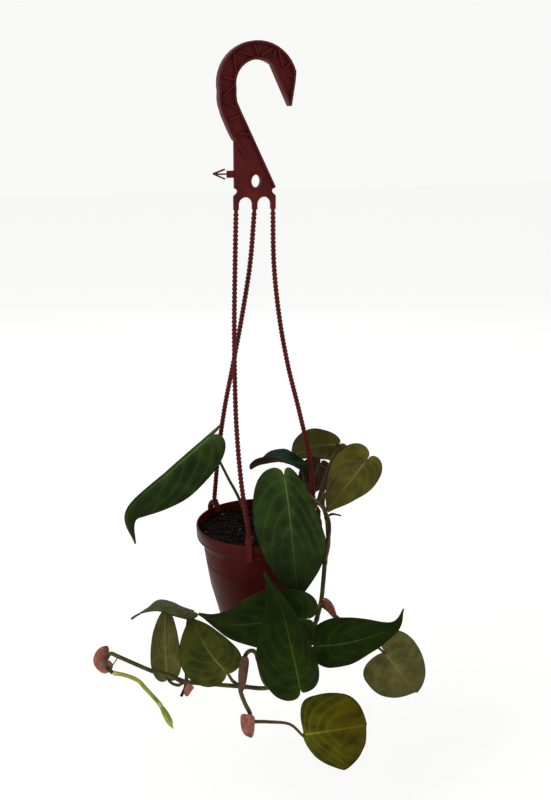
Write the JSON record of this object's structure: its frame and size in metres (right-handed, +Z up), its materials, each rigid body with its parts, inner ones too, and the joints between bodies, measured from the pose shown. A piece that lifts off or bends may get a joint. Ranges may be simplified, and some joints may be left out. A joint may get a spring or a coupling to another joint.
{
  "type": "potted philodendron",
  "caption": "Trailing velvet-leaf philodendron in a small tapered plastic pot, hung from a moulded plastic hook and plate by beaded cords that clip over the rim.",
  "frame": {"origin": "the point inside the crown of the hook where the part hangs, at the middle of the hook's thickness", "axes": "+Z up along the hanging line; the hook lies flat in the XZ plane with its open side towards +X, and its thickness runs along Y"},
  "size_m": [0.2531, 0.1511, 0.5371],
  "materials": {
    "pot_plastic": "red-brown injection-moulded polypropylene, satin",
    "hanger_plastic": "red-brown moulded polypropylene, slightly dusty",
    "potting_soil": "dark moist potting mix with bark chips",
    "stem_skin": "olive to red-brown plant skin, satin",
    "young_shoot": "fresh yellow-green shoot, satin",
    "leaf_blade": "velvety leaf, dark green above, olive to maroon beneath",
    "dry_sheath": "dry pink-brown leaf sheath, papery",
    "root_bark": "dark dry aerial root"
  },
  "bodies": {
    "root": {"pot": "pot_plastic", "hanger_hook": "hanger_plastic", "cord_front": "hanger_plastic", "cord_left": "hanger_plastic", "cord_right": "hanger_plastic", "clip_front": "hanger_plastic", "clip_left": "hanger_plastic", "clip_right": "hanger_plastic", "soil": "potting_soil", "stem_main": "stem_skin", "stem_side": "stem_skin", "shoot_young": "young_shoot", "petiole_left_high": "stem_skin", "petiole_teal": "stem_skin", "petiole_maroon": "stem_skin", "petiole_back_top": "stem_skin", "petiole_back_right": "stem_skin", "petiole_main": "stem_skin", "petiole_wide_left": "stem_skin", "petiole_right": "stem_skin", "petiole_far_right": "stem_skin", "petiole_front": "stem_skin", "petiole_round_left": "stem_skin", "petiole_edge_left": "stem_skin", "petiole_hanging": "stem_skin", "petiole_bottom": "stem_skin", "blade_left_high": "leaf_blade", "blade_teal": "leaf_blade", "blade_maroon": "leaf_blade", "blade_back_top": "leaf_blade", "blade_back_right": "leaf_blade", "blade_main": "leaf_blade", "blade_wide_left": "leaf_blade", "blade_front": "leaf_blade", "blade_right": "leaf_blade", "blade_far_right": "leaf_blade", "blade_bottom": "leaf_blade", "blade_round_left": "leaf_blade", "blade_edge_left": "leaf_blade", "blade_hanging": "leaf_blade", "sheath_node": "dry_sheath", "sheath_long": "dry_sheath", "sheath_square": "dry_sheath", "sheath_hairpin": "dry_sheath", "sheath_red": "dry_sheath", "root_twig": "root_bark", "root_nub": "root_bark", "root_thread": "root_bark"}
  },
  "joints": []
}
